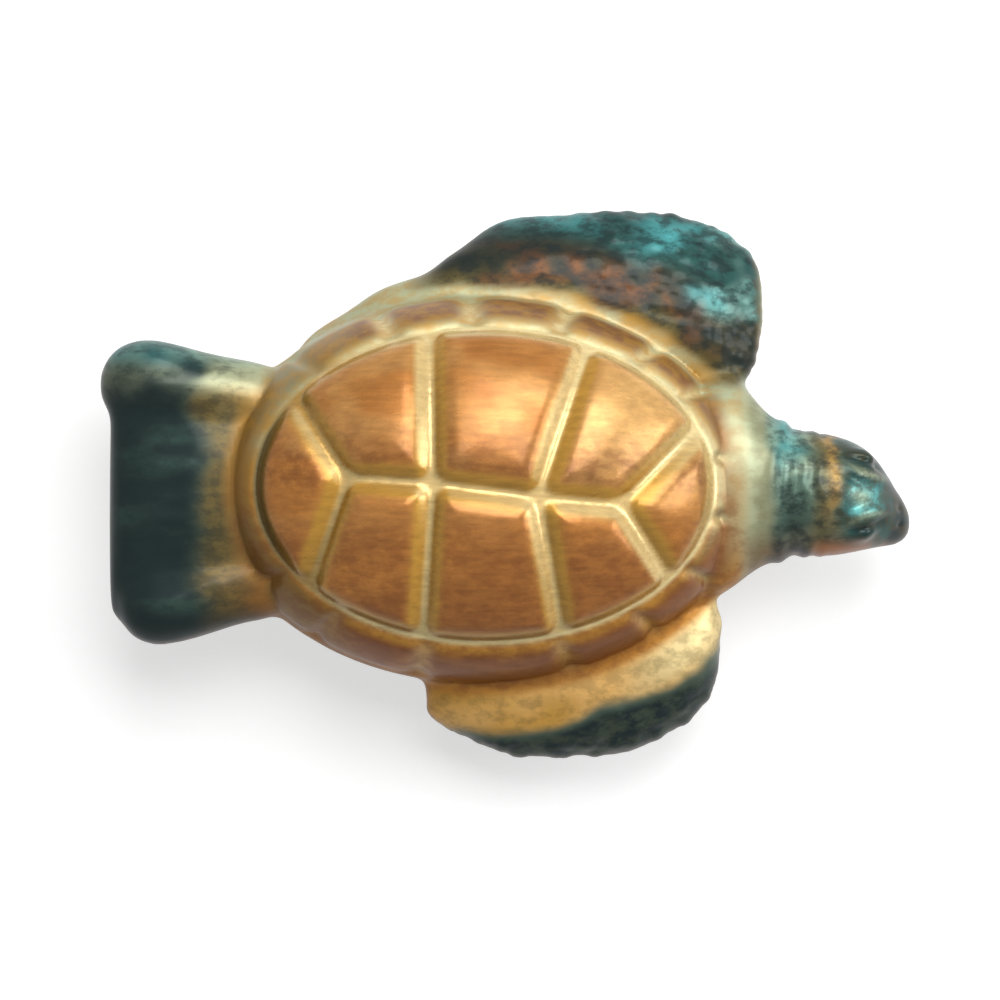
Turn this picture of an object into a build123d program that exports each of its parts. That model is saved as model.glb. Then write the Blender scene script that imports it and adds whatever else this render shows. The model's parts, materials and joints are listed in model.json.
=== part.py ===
"""Hollow blown-glass sea turtle with a stamped metal cap and a sprung wire hanger.

Millimetres. The origin is the middle of the flat belly, +X points to the head,
+Y to the turtle's left side and +Z up.
"""

import os
from math import acos, cos, degrees, radians, sin, sqrt

from build123d import *

os.makedirs("parts", exist_ok=True)

# Shell: a flat-bellied egg of glass
SHELL_LENGTH = 83.0
SHELL_WIDTH = 60.6
SHELL_X = -4.0
SHELL_TOP_Z = 39.5
EQUATOR_SHARE = 0.43

# Scutes: eight pillows on the dome, parted by seams, in a ring of marginal plates
RING_BAND = 6.6
FIELD_SHIFT = 0.7
RING_CROWN = 2.4
RING_LIFT = 0.15
RING_ROUND = 0.7
RING_FOOT = 3.0
SCUTE_RISE = 1.5
SCUTE_ROUND = 2.0
SCUTE_CORNER = 3.2
SEAM_WIDTH = 1.2

# Seam junctions on the back and seam ends past its edge, as shares of the scute field's
# half length and half width
REAR_FORK = (-0.595, 0.03)
REAR_CROSS = (-0.225, -0.01)
FRONT_CROSS = (0.23, -0.095)
FRONT_FORK = (0.59, -0.135)
REAR_LEFT = (-0.95, 0.845)
REAR_RIGHT = (-0.82, -0.885)
HIND_LEFT = (-0.24, 1.265)
HIND_RIGHT = (-0.285, -1.265)
FORE_LEFT = (0.54, 1.265)
FORE_RIGHT = (0.37, -1.265)
FRONT_LEFT = (1.18, 0.74)
FRONT_RIGHT = (0.98, -0.98)
FAR_LEFT = (-1.62, 0.845)
FAR_RIGHT = (-1.62, -0.885)

# Glass
GLASS_WALL = 1.5

# Limbs, as stations along X from the shell's front or rear edge.
# Head and tail: (ahead of the edge, sideways, height, half width, half height)
HEAD = [
    (-11.0, 0.0, 17.5, 14.5, 9.2),
    (-4.0, 0.9, 17.8, 17.4, 9.5),
    (-1.0, 1.3, 18.0, 15.8, 9.6),
    (2.5, 0.4, 18.3, 12.4, 9.5),
    (7.5, -0.5, 18.8, 10.2, 9.4),
    (12.5, -0.9, 19.4, 9.6, 9.4),
    (16.5, -1.2, 19.2, 8.7, 8.6),
    (19.3, -1.8, 18.3, 7.5, 7.4),
    (21.3, -2.8, 17.4, 6.2, 6.1),
    (23.0, -3.9, 16.5, 4.9, 4.8),
    (24.6, -4.7, 15.7, 3.5, 3.4),
    (25.7, -5.1, 15.2, 1.9, 1.8),
    (26.0, -5.1, 15.0, 0.8, 0.7),
]
TAIL_WEB = [
    (17.5, 0.0, 19.0, 17.0, 7.0),
    (11.0, -0.1, 20.0, 18.6, 6.8),
    (5.0, -0.3, 20.5, 19.5, 6.5),
    (-0.5, -0.4, 20.6, 19.9, 6.2),
    (-5.5, -0.6, 20.6, 20.5, 5.9),
    (-9.5, -0.8, 20.6, 20.8, 5.4),
    (-12.5, -0.9, 20.6, 20.6, 4.7),
    (-14.6, -0.9, 20.5, 20.0, 3.7),
    (-15.8, -0.8, 20.4, 19.2, 2.4),
    (-16.3, -0.8, 20.4, 18.5, 1.2),
]
REAR_FLIPPER_LEFT = [
    (18.0, 11.0, 18.5, 5.8, 5.7),
    (12.0, 12.6, 19.3, 6.0, 5.9),
    (6.0, 13.8, 20.0, 6.2, 6.1),
    (0.0, 14.7, 20.4, 6.4, 6.3),
    (-6.0, 16.1, 20.4, 6.6, 6.4),
    (-11.5, 16.8, 20.4, 6.6, 6.0),
    (-15.0, 16.6, 20.4, 5.6, 4.8),
    (-17.1, 16.3, 20.4, 3.6, 3.0),
    (-17.9, 16.2, 20.4, 1.6, 1.3),
]
REAR_FLIPPER_RIGHT = [
    (18.0, -11.5, 18.5, 5.8, 5.7),
    (12.0, -13.0, 19.3, 6.0, 5.9),
    (6.0, -14.5, 20.0, 6.2, 6.1),
    (0.5, -15.9, 20.4, 6.4, 6.2),
    (-4.5, -17.2, 20.4, 6.6, 6.2),
    (-8.5, -17.8, 20.4, 6.6, 5.9),
    (-11.5, -17.8, 20.4, 6.0, 5.2),
    (-13.6, -17.4, 20.4, 4.6, 4.0),
    (-14.7, -17.0, 20.4, 2.9, 2.5),
    (-15.0, -16.9, 20.4, 1.4, 1.2),
]

# Front flippers: (ahead of the shell's front, inner edge and outer edge out from the
# shell's side, half thickness), drooping outwards
FLIPPER_Z = 13.5
FLIPPER_DROOP = 18.0
FLIPPER_LEFT = [
    (2.9, -4.3, 4.7, 1.6),
    (2.2, -7.8, 6.0, 3.2),
    (0.7, -12.5, 8.4, 4.6),
    (-2.5, -14.3, 10.9, 5.8),
    (-8.5, -12.3, 13.4, 6.4),
    (-17.5, -9.3, 14.7, 6.5),
    (-29.5, -6.3, 13.8, 6.2),
    (-38.5, -5.3, 12.7, 5.6),
    (-44.5, -4.5, 8.9, 4.9),
    (-49.5, -4.8, 4.9, 4.5),
    (-53.5, -5.8, 3.2, 4.4),
    (-58.0, -7.3, 1.5, 4.2),
    (-62.5, -9.0, -1.6, 3.6),
    (-66.5, -11.3, -4.0, 3.5),
    (-70.0, -14.0, -7.3, 3.2),
    (-72.5, -15.6, -9.8, 2.8),
]
FLIPPER_RIGHT = [
    (-3.8, -10.3, -2.3, 1.6),
    (-4.4, -12.8, -0.3, 3.2),
    (-5.9, -14.3, 2.9, 4.6),
    (-9.0, -14.3, 6.2, 5.8),
    (-14.5, -12.3, 9.3, 6.4),
    (-23.5, -8.3, 11.6, 6.5),
    (-31.5, -6.3, 11.7, 6.2),
    (-39.5, -4.8, 10.6, 5.8),
    (-44.5, -3.8, 8.4, 5.2),
    (-48.0, -2.8, 6.4, 4.0),
    (-50.1, -1.3, 4.2, 2.2),
]

# Eyes, on the head
EYE_AHEAD = 17.4
EYE_SPREAD = 10.2
EYE_SIDE = -1.2
EYE_Z = 24.6
EYE_RADIUS = 2.2

# Neck of the glass, the cap over it and the wire in it
NECK_Z = 6.5
NECK_RADIUS = 3.7
NECK_BORE = 2.8
NECK_LENGTH = 5.0
CAP_GAP = 0.3
CAP_SHEET = 0.4
CAP_DEPTH = 5.4
CAP_SKIRT = 2.2
CAP_FLARE = 0.6
CAP_FLUTES = 18
CAP_CROWN = 0.8
WIRE_RADIUS = 0.4
LEG_SPACING = 3.0
LEG_SPLAY = 0.45
LEG_STRAIGHT = 6.0
LEG_LENGTH = 12.0
LEG_BEND = 8.0
LOOP_RADIUS = 3.6
LOOP_THROAT = 1.5
LOOP_STANDOFF = 0.8

EQUATOR_Z = EQUATOR_SHARE * SHELL_TOP_Z
FIELD_LENGTH = SHELL_LENGTH - 2 * RING_BAND
FIELD_WIDTH = SHELL_WIDTH - 2 * RING_BAND
FIELD_X = SHELL_X + FIELD_SHIFT
SHELL_FRONT = SHELL_X + SHELL_LENGTH / 2
SHELL_REAR = SHELL_X - SHELL_LENGTH / 2
SHELL_SIDE = SHELL_WIDTH / 2


def egg(rise, crown, pole=(0, 1, 0)):
    """Ellipsoid of the shell grown by the rise around and the crown on top."""
    ball = Solid.make_sphere(1, Plane((0, 0, 0), x_dir=(1, 0, 0), z_dir=pole))
    size = (SHELL_LENGTH / 2 + rise, SHELL_SIDE + rise, SHELL_TOP_Z - EQUATOR_Z + crown)
    return Pos(SHELL_X, 0, EQUATOR_Z) * ball.scale(size)


def shell(inset):
    """The egg, pressed flat at the belly."""
    with BuildPart() as pressed:
        add(egg(-inset, -inset, pole=(0, 0, 1)))
        split(bisect_by=Plane.XY.offset(inset))
    return pressed.part


def limb(edge_x, stations, inset):
    """Smooth limb through upright ovals; it ends where the glass leaves no hollow."""
    with BuildPart() as form:
        for ahead, sideways, height, half_width, half_height in stations:
            if half_height > 2 * inset:
                with BuildSketch(Plane((edge_x + ahead, sideways, height), (0, 1, 0), (1, 0, 0))):
                    Ellipse(half_width - inset, half_height - inset)
        loft()
    return form.part


def flipper(stations, side, inset):
    """Front flipper through ovals that droop outwards; side is 1 for left, -1 for right."""
    droop = radians(FLIPPER_DROOP)
    across = (0, cos(droop), -side * sin(droop))
    with BuildPart() as form:
        for ahead, inner, outer, half in stations:
            if half > 2 * inset:
                reach = (outer - inner) / 2
                half_width = sqrt(reach**2 - (half * sin(droop)) ** 2) / cos(droop)
                middle = side * (SHELL_SIDE + (inner + outer) / 2)
                with BuildSketch(Plane((SHELL_FRONT + ahead, middle, FLIPPER_Z), across, (1, 0, 0))):
                    Ellipse(half_width - inset, half - inset)
        loft()
    return form.part


def tail(inset):
    """Web and rear flippers, grown together."""
    with BuildPart() as fan:
        for stations in (TAIL_WEB, REAR_FLIPPER_LEFT, REAR_FLIPPER_RIGHT):
            add(limb(SHELL_REAR, stations, inset))
    return fan.part


def limbs(inset):
    """Head, tail and flippers, shrunk by the inset."""
    return [
        limb(SHELL_FRONT, HEAD, inset),
        tail(inset),
        flipper(FLIPPER_LEFT, 1, inset),
        flipper(FLIPPER_RIGHT, -1, inset),
    ]


def scute(corners):
    """One pillow: the field within its seams, rounded over at the top."""
    points = [(FIELD_X + along * FIELD_LENGTH / 2, across * FIELD_WIDTH / 2) for along, across in corners]
    with BuildSketch() as outline:
        Polygon(*points, align=None)
        offset(amount=-SEAM_WIDTH / 2)
        with Locations((FIELD_X, 0)):
            Ellipse(FIELD_LENGTH / 2, FIELD_WIDTH / 2, rotation=180, mode=Mode.INTERSECT)
        fillet(outline.vertices(), radius=SCUTE_CORNER)
    with BuildPart() as pillow:
        add(outline.sketch)
        extrude(amount=SHELL_TOP_Z + 2 * SCUTE_RISE)
        add(egg(SCUTE_RISE, SCUTE_RISE), mode=Mode.INTERSECT)
        split(bisect_by=Plane.XY.offset(EQUATOR_Z))
        fillet(pillow.faces().sort_by(Axis.Z)[-1].edges(), radius=SCUTE_ROUND)
    return pillow.part


def ring():
    """Marginal plates: a band that rises from the shell's equator up to the scute field."""
    with BuildPart() as band:
        add(egg(RING_LIFT, RING_CROWN))
        split(bisect_by=Plane.XY.offset(EQUATOR_Z + RING_FOOT))
        with BuildSketch():
            with Locations((FIELD_X, 0)):
                Ellipse(FIELD_LENGTH / 2 + SEAM_WIDTH, FIELD_WIDTH / 2 + SEAM_WIDTH)
        extrude(amount=2 * SHELL_TOP_Z, mode=Mode.SUBTRACT)
        fillet(band.edges().group_by(Axis.Z)[-1], radius=RING_ROUND)
    return band.part


SCUTES = [
    (REAR_FORK, REAR_LEFT, FAR_LEFT, FAR_RIGHT, REAR_RIGHT),
    (REAR_FORK, REAR_CROSS, HIND_LEFT, REAR_LEFT),
    (REAR_CROSS, FRONT_CROSS, FORE_LEFT, HIND_LEFT),
    (FRONT_CROSS, FRONT_FORK, FRONT_LEFT, FORE_LEFT),
    (FRONT_FORK, FRONT_RIGHT, FRONT_LEFT),
    (FRONT_FORK, FRONT_CROSS, FORE_RIGHT, FRONT_RIGHT),
    (FRONT_CROSS, REAR_CROSS, HIND_RIGHT, FORE_RIGHT),
    (REAR_CROSS, REAR_FORK, REAR_RIGHT, HIND_RIGHT),
]

mouth = Plane((SHELL_REAR - NECK_LENGTH, 0, NECK_Z), (0, 1, 0), (-1, 0, 0))

with BuildPart() as hollow:
    add(shell(GLASS_WALL))
    for form in limbs(GLASS_WALL):
        add(form)

with BuildPart() as glass_body:
    add(shell(0))
    for form in limbs(0):
        add(form)
    for side in (1, -1):
        with Locations((SHELL_FRONT + EYE_AHEAD, EYE_SIDE + side * EYE_SPREAD / 2, EYE_Z)):
            Sphere(EYE_RADIUS)
    with BuildSketch(mouth):
        Circle(NECK_RADIUS)
    extrude(amount=-SHELL_LENGTH / 4)
    add(ring())
    for corners in SCUTES:
        add(scute(corners))
    add(hollow.part, mode=Mode.SUBTRACT)
    with BuildSketch(mouth):
        Circle(NECK_BORE)
    extrude(amount=-SHELL_LENGTH / 4, mode=Mode.SUBTRACT)

glass_body.part.label = "glass_body"
export_step(glass_body.part, "parts/glass_body.step")

# Stamped cap: a loose cup over the neck with a flared, fluted skirt and two wire holes
cap_inner = NECK_RADIUS + CAP_GAP
cap_outer = cap_inner + CAP_SHEET
skirt_inner = cap_inner + CAP_FLARE
skirt_outer = cap_outer + CAP_FLARE
cap_top = CAP_GAP + CAP_SHEET
skirt_start = CAP_SKIRT - CAP_DEPTH

with BuildPart() as ornament_cap:
    with BuildSketch(Plane.XZ):
        with BuildLine():
            Polyline(
                (0, CAP_GAP),
                (cap_inner, CAP_GAP),
                (cap_inner, skirt_start),
                (skirt_inner, -CAP_DEPTH),
                (skirt_outer, -CAP_DEPTH),
                (cap_outer, skirt_start),
                (cap_outer, cap_top),
                (0, cap_top),
                close=True,
            )
        make_face()
    revolve(axis=Axis.Z)
    crown = ornament_cap.edges().filter_by(GeomType.CIRCLE).group_by(Axis.Z)[-1]
    fillet(crown.sort_by(SortBy.RADIUS)[-1], radius=CAP_CROWN)
    with PolarLocations(skirt_outer + CAP_SHEET / 2, CAP_FLUTES):
        with Locations((0, 0, -CAP_DEPTH)):
            Cylinder(CAP_SHEET, 2 * CAP_SKIRT, mode=Mode.SUBTRACT)
    with Locations((LEG_SPACING / 2, 0, 0), (-LEG_SPACING / 2, 0, 0)):
        Cylinder(WIRE_RADIUS + CAP_GAP, 4 * cap_top, mode=Mode.SUBTRACT)

ornament_cap.part = mouth.location * ornament_cap.part
ornament_cap.part.label = "ornament_cap"
export_step(ornament_cap.part, "parts/ornament_cap.step")

# Hanger: a round loop pinched to two legs that run through the cap into the neck
leg = LEG_SPACING / 2
pinch = degrees(acos((leg + LOOP_THROAT) / (LOOP_RADIUS + LOOP_THROAT)))
loop_length = LOOP_RADIUS + (LOOP_RADIUS + LOOP_THROAT) * sin(radians(pinch))
loop_end = cap_top + LOOP_STANDOFF + loop_length

with BuildPart() as hanger_wire:
    with BuildLine(Plane(mouth.origin, (0, 1, 0), (0, 0, 1))) as path:
        loop = JernArc((0, loop_end), (1, 0), LOOP_RADIUS, -90 - pinch)
        throat = JernArc(loop @ 1, loop % 1, LOOP_THROAT, pinch)
        FilletPolyline(
            throat @ 1,
            (leg, -LEG_STRAIGHT),
            (leg + LEG_SPLAY, -LEG_LENGTH),
            radius=LEG_BEND,
        )
        mirror(about=Plane.XZ)
    with BuildSketch(Plane(path.wire() @ 0, z_dir=path.wire() % 0)):
        Circle(WIRE_RADIUS)
    sweep(path=path.wire())

hanger_wire.part.label = "hanger_wire"
export_step(hanger_wire.part, "parts/hanger_wire.step")
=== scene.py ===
"""Lacquered blown-glass turtle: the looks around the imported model, laid out as an add-on."""

import json
import math

import bpy
import numpy as np
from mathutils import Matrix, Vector

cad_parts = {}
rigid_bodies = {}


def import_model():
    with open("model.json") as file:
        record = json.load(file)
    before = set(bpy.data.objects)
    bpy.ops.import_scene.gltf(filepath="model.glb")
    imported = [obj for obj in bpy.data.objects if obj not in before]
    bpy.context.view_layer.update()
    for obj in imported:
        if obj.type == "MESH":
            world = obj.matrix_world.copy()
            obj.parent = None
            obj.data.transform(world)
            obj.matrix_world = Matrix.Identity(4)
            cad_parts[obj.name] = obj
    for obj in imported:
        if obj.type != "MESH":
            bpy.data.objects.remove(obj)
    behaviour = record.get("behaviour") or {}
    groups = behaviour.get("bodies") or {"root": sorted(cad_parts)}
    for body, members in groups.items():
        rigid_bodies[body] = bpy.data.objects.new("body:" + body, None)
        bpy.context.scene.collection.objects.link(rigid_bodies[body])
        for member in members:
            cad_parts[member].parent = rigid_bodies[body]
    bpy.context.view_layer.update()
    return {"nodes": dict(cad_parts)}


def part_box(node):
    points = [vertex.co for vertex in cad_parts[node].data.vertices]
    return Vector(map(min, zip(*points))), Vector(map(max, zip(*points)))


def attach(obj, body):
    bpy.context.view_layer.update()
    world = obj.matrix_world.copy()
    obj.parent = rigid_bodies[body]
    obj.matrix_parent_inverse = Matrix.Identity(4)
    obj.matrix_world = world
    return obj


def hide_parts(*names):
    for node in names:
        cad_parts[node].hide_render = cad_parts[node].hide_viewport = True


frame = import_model()

bl_info = {
    "name": "Blown Glass Turtle",
    "version": (1, 0, 0),
    "blender": (4, 5, 0),
    "location": "View3D > Sidebar > Turtle",
    "description": "Dresses the turtle's glass, cap and wire and sets the stage",
    "category": "Object",
}

MM = 0.001
TINY = 1e-6
WHITE = (1.0, 1.0, 1.0, 1.0)

# Measures of the turtle are in millimetres, with the head along X and its left side along Y.

# The shell's egg and scute field, as the solids have them
EGG_CENTRE = np.array((-4.0, 0.0, 16.985))
EGG_SIZE = np.array((41.5, 30.3, 22.515))
FIELD_X = -3.3
FIELD_SIZE = np.array((34.9, 23.7))
SEAM_HALF = 0.4

# Relief of the scutes and of the ring of marginal plates round them
SEAM_ROUND = 0.6
SWELL_REACH = 5.0
RING_WIDTH = 2.2
RING_POWER = 2.2
RING_LIFT = 0.15
REAR_FADE = (-20.0, -33.0)
REAR_DROP = 0.45
EDGE_Z = 21.0
EDGE_WIDTH = 1.3
EDGE_DIP = 0.35
JOINT_WIDTH = 1.1

# Seam junctions and ends, as shares of the field's half length and half width
REAR_FORK = (-0.595, 0.03)
REAR_CROSS = (-0.225, -0.01)
FRONT_CROSS = (0.23, -0.095)
FRONT_FORK = (0.59, -0.135)
REAR_LEFT = (-0.95, 0.845)
REAR_RIGHT = (-0.82, -0.885)
HIND_LEFT = (-0.24, 1.265)
HIND_RIGHT = (-0.285, -1.265)
FORE_LEFT = (0.54, 1.265)
FORE_RIGHT = (0.37, -1.265)
FRONT_LEFT = (1.18, 0.74)
FRONT_RIGHT = (0.98, -0.98)
FAR_LEFT = (-1.62, 0.845)
FAR_RIGHT = (-1.62, -0.885)
SCUTES = (
    (REAR_FORK, REAR_LEFT, FAR_LEFT, FAR_RIGHT, REAR_RIGHT),
    (REAR_FORK, REAR_CROSS, HIND_LEFT, REAR_LEFT),
    (REAR_CROSS, FRONT_CROSS, FORE_LEFT, HIND_LEFT),
    (FRONT_CROSS, FRONT_FORK, FRONT_LEFT, FORE_LEFT),
    (FRONT_FORK, FRONT_RIGHT, FRONT_LEFT),
    (FRONT_FORK, FRONT_CROSS, FORE_RIGHT, FRONT_RIGHT),
    (FRONT_CROSS, REAR_CROSS, HIND_RIGHT, FORE_RIGHT),
    (REAR_CROSS, REAR_FORK, REAR_RIGHT, HIND_RIGHT),
)

# Joints between the marginal plates, in degrees round the field
PLATE_JOINTS = (10, 33, 50, 72, 93, 113, 135, -148, -128, -104, -72, -51, -31, -11)

# Neck of the glass under the tail, and the blind bore in it for the wire's legs
NECK_MOUTH_X = -50.5
NECK_ROOT_X = -33.0
NECK_Z = 6.5
NECK_BORE = 2.8
BORE_SLACK = 0.12
RIM_X = -45.0
RIM_WIDTH = 0.8
DRILL_LEAD = 6.0
DRILL_DEPTH = 18.0
DRILL_SIDES = 64

# Head: its middle line, each eye's place across and slant, and the places of eyes and nostrils
HEAD_AXIS = -1.2
EYES = ((5.1, -0.30), (-5.1, 0.30))
EYE_X = 55.2
EYE_PAINT_X = 55.6
FOLD_SPACING = 2.4
MOUTH_Z = 13.2
NOSTRIL_X = 61.3
NOSTRIL_Y = -4.3
NOSTRIL_HALF = 1.3

# Flippers: the shell's outline for relief and for paint, the run of the scales, the rust arcs
# as place and radius
RELIEF_OUTLINE = (42.7, 31.4)
PAINT_OUTLINE = (42.0, 30.8)
PAINT_REACH = 30.0
SCALE_RUN = (0.94, 0.34)
SCALE_SIZE = 2.4
SCALE_STRETCH = 1.3
ARCS = (
    (3.0, 35.2, 2.3),
    (8.3, 35.4, 2.5),
    (13.6, 35.0, 2.4),
    (20.5, 33.8, 3.1),
    (27.8, 30.2, 3.0),
)

# Fades between parts: off the floor, up to the shell's back, on to the head and up to the face
FLOOR_FADE = (0.3, 1.6)
BACK_FADE = (17.5, 19.5)
HEAD_FADE = (38.0, 41.0)
FACE_FADE = (14.0, 19.0)

# Smoothing rounds for the limbs' joins, for the border of the pressed back and for all of it
JOIN_ROUNDS = 45
BORDER_ROUNDS = 14
LAST_ROUNDS = 3
WEIGHT_STEPS = 20

# Lacquer: the shader's plain values, and the sockets of a colour mix
LACQUER_VALUES = {
    "Metallic": 0.35,
    "Specular IOR Level": 0.2,
    "Coat Weight": 0.12,
    "Coat Roughness": 0.12,
}
MIX_INPUTS = (0, 6, 7)
MIX_RESULT = 2
EVEN = (1.0, 1.0, 1.0)

# Stage, in metres, and the camera's sensor in millimetres
FLOOR_SIZE = 4.0
FLOOR_GREYS = (0.53, 0.56)
FLOOR_GLOW = 0.62
ROOM_LIGHT = 0.14
CAMERA_AIM = (-0.0010, -0.0016, 0.018)
LAMP_AIM = (0.0, 0.0, 0.015)
KEY_PLACE = (0.1, 0.36, 0.66)
KEY_SIZE = 0.5
FILL_PLACE = (0.6, 0.1, 0.4)
FILL_SIZE = 0.35
SENSOR_WIDTH = 36.0


def colour(code):
    """Linear colour of a hex code, for a shader's socket."""
    parts = [int(code[i : i + 2], 16) / 255 for i in (0, 2, 4)]
    return [c / 12.92 if c < 0.04045 else ((c + 0.055) / 1.055) ** 2.4 for c in parts] + [1.0]


def size_prop(name, text, millimetres):
    """A length that a user may change."""
    return bpy.props.FloatProperty(
        name=name, description=text, default=millimetres * MM, min=0.0, unit="LENGTH", precision=5
    )


def colour_prop(name, text, code):
    """A lacquer colour that a user may change."""
    return bpy.props.FloatVectorProperty(
        name=name, description=text, default=colour(code), size=4, min=0.0, max=1.0, subtype="COLOR"
    )


def power_prop(name, text, watts):
    """A lamp's power that a user may change."""
    return bpy.props.FloatProperty(name=name, description=text, default=watts, min=0.0, subtype="POWER")


def angle_prop(name, text, degrees):
    """An angle that a user may change."""
    return bpy.props.FloatProperty(
        name=name, description=text, default=math.radians(degrees), subtype="ANGLE"
    )


class GlassSettings(bpy.types.PropertyGroup):
    """Relief of the blown glass."""

    grain: size_prop("Grain", "Spacing of the glass mesh", 0.54)
    scute_rise: size_prop("Scute rise", "Height of the pillow scutes over their seams", 1.5)
    scute_swell: size_prop("Scute swell", "Extra bulge in the middle of a scute", 0.8)
    scute_corner: size_prop("Scute corners", "Rounding of the scutes' corners", 2.4)
    bevel: size_prop("Bevel", "Width of the slope from a seam to a scute's top", 3.3)
    ring_crown: size_prop("Ring crown", "Rise of the marginal plates towards the scutes", 2.4)
    joint_depth: size_prop("Plate joints", "Depth of the dips between marginal plates", 1.0)
    pebble: size_prop("Pebbles", "Height of the flippers' pebbled scales", 0.32)
    wrinkle: size_prop("Wrinkles", "Height of the folds round the neck", 0.15)


class LacquerSettings(bpy.types.PropertyGroup):
    """Colours brushed on the glass."""

    # Besides their own places, mint, honey, pale gold, aqua and gold also serve as painted highlights
    # and painted light on the light side, and umber, olive, deep teal and rust as painted shade
    copper: colour_prop("Copper", "Middle tone of the scutes", "AC733D")
    umber: colour_prop("Umber", "Dark strokes on the scutes and plates", "6E3E22")
    honey: colour_prop("Honey", "Light strokes on the scutes", "DDB274")
    gold: colour_prop("Gold", "Bevels, seams and inner flippers", "B58940")
    pale: colour_prop("Pale gold", "Thin bright lines of the seams", "EBDDAA")
    mint: colour_prop("Mint", "Light side of the plates and shoulders", "B2BC9C")
    olive: colour_prop("Olive", "Roots of the limbs", "5F5430")
    teal: colour_prop("Teal", "Limbs", "235451")
    deep: colour_prop("Deep teal", "Dark ends of the limbs and the beak", "0A1C1D")
    aqua: colour_prop("Aqua", "Light strokes on the limbs", "58A9AA")
    rust: colour_prop("Rust", "Arcs on the left flipper and the jaw", "A5652F")


class StageSettings(bpy.types.PropertyGroup):
    """Camera and light."""

    distance: size_prop("Camera distance", "From the turtle's middle to the camera", 560.0)
    frame_width: size_prop("Frame width", "Width of the picture at the turtle's middle", 156.3)
    elevation: angle_prop("Elevation", "Camera's height angle", 87.0)
    key_power: power_prop("Key power", "Large soft lamp above the left side", 4.8)
    fill_power: power_prop("Fill power", "Soft lamp ahead of the head", 2.2)


def smooth(low, high, value):
    """Smooth step from 0 at low to 1 at high."""
    t = np.clip((value - low) / (high - low), 0.0, 1.0)
    return t * t * (3.0 - 2.0 * t)


def bell(distance, width):
    """Soft bump of height 1 at distance 0."""
    return np.exp(-((distance / width) ** 2))


def scatter(value, spread):
    """Random-looking values from 0 to 1, the same in each run."""
    return np.modf(np.abs(np.sin(value)) * spread)[0]


def cells(x, y, size):
    """Distance to the nearest of scattered pebbles, in pebble sizes."""
    best = np.full(len(x), 9.0)
    column = np.floor(x / size)
    row = np.floor(y / size)
    for i in (-1, 0, 1):
        for j in (-1, 0, 1):
            c = column + i
            r = row + j
            jx = scatter(c * 127.1 + r * 311.7, 437.5)
            jy = scatter(c * 269.5 + r * 183.3, 437.5)
            best = np.minimum(best, np.hypot(x / size - c - jx, y / size - r - jy))
    return best


def grain(p, size):
    """Soft random values from 0 to 1 with patches of this size."""
    q = p / np.array(size) + 31.0
    cell = np.floor(q)
    part = smooth(0.0, 1.0, q - cell)
    total = np.zeros(len(p))
    for corner in np.ndindex(2, 2, 2):
        pick = scatter((cell + corner) @ (127.1, 311.7, 74.7), 43758.5)
        total += pick * np.prod(np.where(corner, part, 1.0 - part), axis=1)
    return total


def mottle(p, broad, fine):
    """Broad soft patches broken up by fine ones, from 0 to 1."""
    return 0.6 * grain(p, broad) + 0.4 * grain(p, fine)


def strokes(p, length, width):
    """Uneven brush strokes along X, from 0 to 1."""
    broad = grain(p, (length, width, width * 3.0))
    fine = grain(p + 7.0, (length * 0.6, width * 0.4, width * 1.5))
    return np.clip(0.62 * broad + 0.38 * fine, 0.0, 1.0)


def points(mesh):
    """Vertex places in millimetres."""
    flat = np.empty(len(mesh.vertices) * 3, np.float32)
    mesh.vertices.foreach_get("co", flat)
    return flat.reshape(-1, 3).astype(float) / MM


def put_points(mesh, places):
    """Writes vertex places given in millimetres."""
    mesh.vertices.foreach_set("co", (places * MM).astype(np.float32).ravel())
    mesh.update()


def normals(mesh):
    """Vertex normals."""
    flat = np.empty(len(mesh.vertices) * 3, np.float32)
    mesh.vertices.foreach_get("normal", flat)
    return flat.reshape(-1, 3).astype(float)


def field_place(x, y):
    """Distance in from the field's edge, distance from its middle and angle round it."""
    u = (x - FIELD_X) / (FIELD_SIZE[0] + SEAM_HALF)
    v = y / (FIELD_SIZE[1] + SEAM_HALF)
    share = np.maximum(np.hypot(u, v), TINY)
    reach = np.hypot(x - FIELD_X, y)
    return (1.0 / share - 1.0) * reach, reach, np.degrees(np.arctan2(v, u))


def scute_depth(x, y, inside, corner):
    """Distance in from the nearest seam, round at the scutes' corners."""
    best = np.zeros(len(x))
    for outline in SCUTES:
        ring = np.array(outline) * FIELD_SIZE + (FIELD_X, 0.0)
        ahead = np.roll(ring, -1, axis=0)
        turn = np.sign(np.sum(ring[:, 0] * ahead[:, 1] - ahead[:, 0] * ring[:, 1]))
        sides = [inside]
        for (ax, ay), (bx, by) in zip(ring, ahead):
            across = (bx - ax) * (y - ay) - (by - ay) * (x - ax)
            sides.append(turn * across / math.hypot(bx - ax, by - ay))
        first, second = np.sort(np.array(sides), axis=0)[:2]
        rounded = corner - np.hypot(corner - first, corner - second)
        best = np.maximum(best, np.where(second < corner, np.minimum(first, rounded), first))
    return best


def plate_joint(angle, reach):
    """Nearness to a joint between marginal plates, 0 to 1."""
    near = np.zeros(len(angle))
    for joint in PLATE_JOINTS:
        turn = np.abs((angle - joint + 180.0) % 360.0 - 180.0)
        near = np.maximum(near, bell(np.radians(turn) * reach, JOINT_WIDTH))
    return near


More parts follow.
